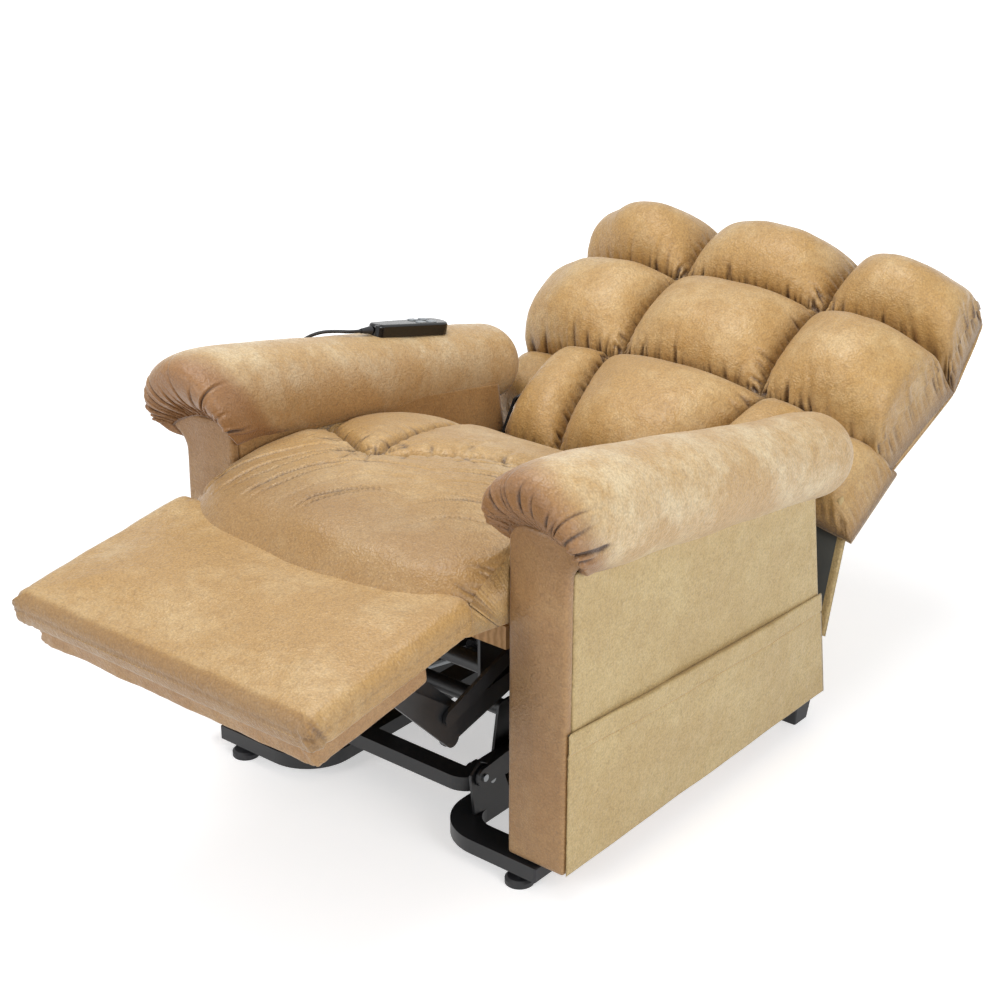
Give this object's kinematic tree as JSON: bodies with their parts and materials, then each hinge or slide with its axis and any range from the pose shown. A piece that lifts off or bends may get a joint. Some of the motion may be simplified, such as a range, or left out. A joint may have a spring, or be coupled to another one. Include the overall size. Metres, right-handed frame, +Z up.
{
  "type": "power lift recliner chair",
  "caption": "Upholstered power lift recliner with rolled arms, pillow back and side pockets, shown reclined with its footrest out.",
  "frame": {"origin": "on the floor, under the centre of the overall bounding box", "axes": "+Z up, the chair faces -Y, +X is the sitter's left"},
  "size_m": [0.889, 1.6584, 0.7356],
  "materials": {
    "upholstery": "soft satin grain",
    "panel_upholstery": "flat stretched grain",
    "black_steel": "satin powder coat",
    "zinc": "bright zinc",
    "hardwood": "sawn",
    "black_plastic": "moulded",
    "handset_plastic": "glossy",
    "button_rubber": "soft",
    "cord_sheath": "soft"
  },
  "bodies": {
    "lift_base": {"base_side_tubes": "black_steel", "base_rear_tube": "black_steel", "base_end_caps": "black_plastic", "glide_feet": "black_plastic", "glide_stems": "zinc", "base_pivot_brackets": "black_steel", "base_pivot_pins": "zinc", "lift_motor_mount": "black_steel"},
    "lift_arm": {"lift_frame_tube": "black_steel"},
    "lift_links": {"lift_links": "black_steel"},
    "chair_frame": {"carriage_plates": "black_steel", "carriage_tubes": "black_steel", "carriage_pins": "zinc", "seat_rails": "hardwood", "seat_springs": "zinc", "seat_cushion": "upholstery", "left_arm_roll": "upholstery", "right_arm_roll": "upholstery", "left_front_panel": "panel_upholstery", "right_front_panel": "panel_upholstery", "left_outer_panel": "panel_upholstery", "right_outer_panel": "panel_upholstery", "arm_inner_panels": "panel_upholstery", "arm_frames": "hardwood", "side_pockets": "panel_upholstery", "rear_legs": "black_plastic", "back_hinge_posts": "black_steel", "control_box": "black_plastic", "power_inlet": "black_plastic", "handset_body": "handset_plastic", "cord_reliefs": "black_plastic", "handset_cord": "cord_sheath"},
    "backrest": {"back_shell": "panel_upholstery", "back_frame": "hardwood", "back_brackets": "black_steel", "lumbar_pillow": "upholstery", "middle_pillow_centre": "upholstery", "middle_pillow_left": "upholstery", "middle_pillow_right": "upholstery", "top_pillow_centre": "upholstery", "top_pillow_left": "upholstery", "top_pillow_right": "upholstery"},
    "back_skirt": {"back_skirt": "panel_upholstery"},
    "lift_motor": {"lift_motor": "black_plastic"},
    "lift_rod": {"lift_rod": "zinc"},
    "recline_motor": {"recline_motor": "black_plastic"},
    "recline_rod": {"recline_rod": "zinc"},
    "footrest_motor": {"footrest_motor": "black_plastic"},
    "footrest_rod": {"footrest_rod": "zinc"},
    "footrest_rear_links": {"footrest_rear_links": "black_steel"},
    "footrest_front_links": {"footrest_front_links": "black_steel"},
    "footrest_control_links": {"footrest_control_links": "black_steel"},
    "footrest_guide_links": {"footrest_guide_links": "black_steel"},
    "footrest_panel": {"footrest_pad": "upholstery", "footrest_board": "upholstery", "footrest_brackets": "black_steel"},
    "button_back_up": {"button_back_up": "button_rubber"},
    "button_back_down": {"button_back_down": "button_rubber"},
    "button_foot_up": {"button_foot_up": "button_rubber"},
    "button_foot_down": {"button_foot_down": "button_rubber"}
  },
  "joints": [
    {"name": "lift", "type": "hinge", "parent": "lift_base", "child": "lift_arm", "pos_m": [0, -0.30831, 0.094], "axis": [1, 0, 0], "range_deg": [0, 52]},
    {"name": "lift_link", "type": "hinge", "parent": "lift_base", "child": "lift_links", "pos_m": [0, -0.33831, 0.114], "axis": [1, 0, 0], "range_deg": [0, 51.3]},
    {"name": "lift_tilt", "type": "hinge", "parent": "lift_arm", "child": "chair_frame", "pos_m": [0, 0.11669, 0.094], "axis": [1, 0, 0], "range_deg": [-24.2, 0]},
    {"name": "lift_motor_pivot", "type": "hinge", "parent": "lift_base", "child": "lift_motor", "pos_m": [0, 0.23669, 0.078], "axis": [1, 0, 0], "range_deg": [-3.2, 0]},
    {"name": "lift_extend", "type": "slide", "parent": "lift_motor", "child": "lift_rod", "axis": [0, -0.9818, 0.19], "range_m": [0, 0.0955]},
    {"name": "recline", "type": "hinge", "parent": "chair_frame", "child": "backrest", "pos_m": [0, 0.31669, 0.43], "axis": [1, 0, 0], "range_deg": [0, 46]},
    {"name": "skirt_fold", "type": "hinge", "parent": "backrest", "child": "back_skirt", "pos_m": [0, 0.39685, 0.32742], "axis": [1, 0, 0], "range_deg": [-37, 0]},
    {"name": "recline_motor_pivot", "type": "hinge", "parent": "chair_frame", "child": "recline_motor", "pos_m": [0, -0.19331, 0.262], "axis": [1, 0, 0], "range_deg": [0, 1.2]},
    {"name": "recline_extend", "type": "slide", "parent": "recline_motor", "child": "recline_rod", "axis": [0, 0.9975, 0.0706], "range_m": [0, 0.1062]},
    {"name": "footrest", "type": "hinge", "parent": "chair_frame", "child": "footrest_rear_links", "pos_m": [0, -0.31331, 0.294], "axis": [1, 0, 0], "range_deg": [0, 65.75]},
    {"name": "footrest_knee", "type": "hinge", "parent": "footrest_rear_links", "child": "footrest_front_links", "pos_m": [0, -0.46631, 0.258], "axis": [1, 0, 0], "range_deg": [-90.9, 0]},
    {"name": "footrest_ankle", "type": "hinge", "parent": "footrest_front_links", "child": "footrest_panel", "pos_m": [0, -0.59131, 0.386], "axis": [1, 0, 0], "range_deg": [0, 106.5]},
    {"name": "footrest_control", "type": "hinge", "parent": "chair_frame", "child": "footrest_control_links", "pos_m": [0, -0.31151, 0.3589], "axis": [1, 0, 0], "range_deg": [0, 62.7]},
    {"name": "footrest_guide", "type": "hinge", "parent": "footrest_rear_links", "child": "footrest_guide_links", "pos_m": [0, -0.43241, 0.2779], "axis": [1, 0, 0], "range_deg": [-91.2, 0]},
    {"name": "footrest_motor_pivot", "type": "hinge", "parent": "chair_frame", "child": "footrest_motor", "pos_m": [0, 0.01669, 0.32], "axis": [1, 0, 0], "range_deg": [0, 3.3]},
    {"name": "footrest_extend", "type": "slide", "parent": "footrest_motor", "child": "footrest_rod", "axis": [0, -0.9773, -0.2117], "range_m": [-0.0636, 0]},
    {"name": "button_back_up_press", "type": "slide", "parent": "chair_frame", "child": "button_back_up", "axis": [0, -0.2164, -0.9763], "range_m": [0, 0.0015], "stiffness_N_per_m": 400},
    {"name": "button_back_down_press", "type": "slide", "parent": "chair_frame", "child": "button_back_down", "axis": [0, -0.2164, -0.9763], "range_m": [0, 0.0015], "stiffness_N_per_m": 400},
    {"name": "button_foot_up_press", "type": "slide", "parent": "chair_frame", "child": "button_foot_up", "axis": [0, -0.2164, -0.9763], "range_m": [0, 0.0015], "stiffness_N_per_m": 400},
    {"name": "button_foot_down_press", "type": "slide", "parent": "chair_frame", "child": "button_foot_down", "axis": [0, -0.2164, -0.9763], "range_m": [0, 0.0015], "stiffness_N_per_m": 400}
  ],
  "couplings": [
    {"joint": "lift_link", "follows": "lift", "ratio": 0.98289},
    {"joint": "lift_tilt", "follows": "lift", "ratio": -0.46154},
    {"joint": "lift_motor_pivot", "follows": "lift", "ratio": -0.057577},
    {"joint": "lift_extend", "follows": "lift", "m_per_rad": 0.10405},
    {"joint": "skirt_fold", "follows": "recline", "ratio": -0.8},
    {"joint": "recline_motor_pivot", "follows": "recline", "ratio": 0.023043},
    {"joint": "recline_extend", "follows": "recline", "m_per_rad": 0.1313},
    {"joint": "footrest_knee", "follows": "footrest", "ratio": -1.3789},
    {"joint": "footrest_ankle", "follows": "footrest", "ratio": 1.6154},
    {"joint": "footrest_control", "follows": "footrest", "ratio": 0.9489},
    {"joint": "footrest_guide", "follows": "footrest", "ratio": -1.3829},
    {"joint": "footrest_motor_pivot", "follows": "footrest", "ratio": 0.047103},
    {"joint": "footrest_extend", "follows": "footrest", "m_per_rad": -0.054784}
  ]
}
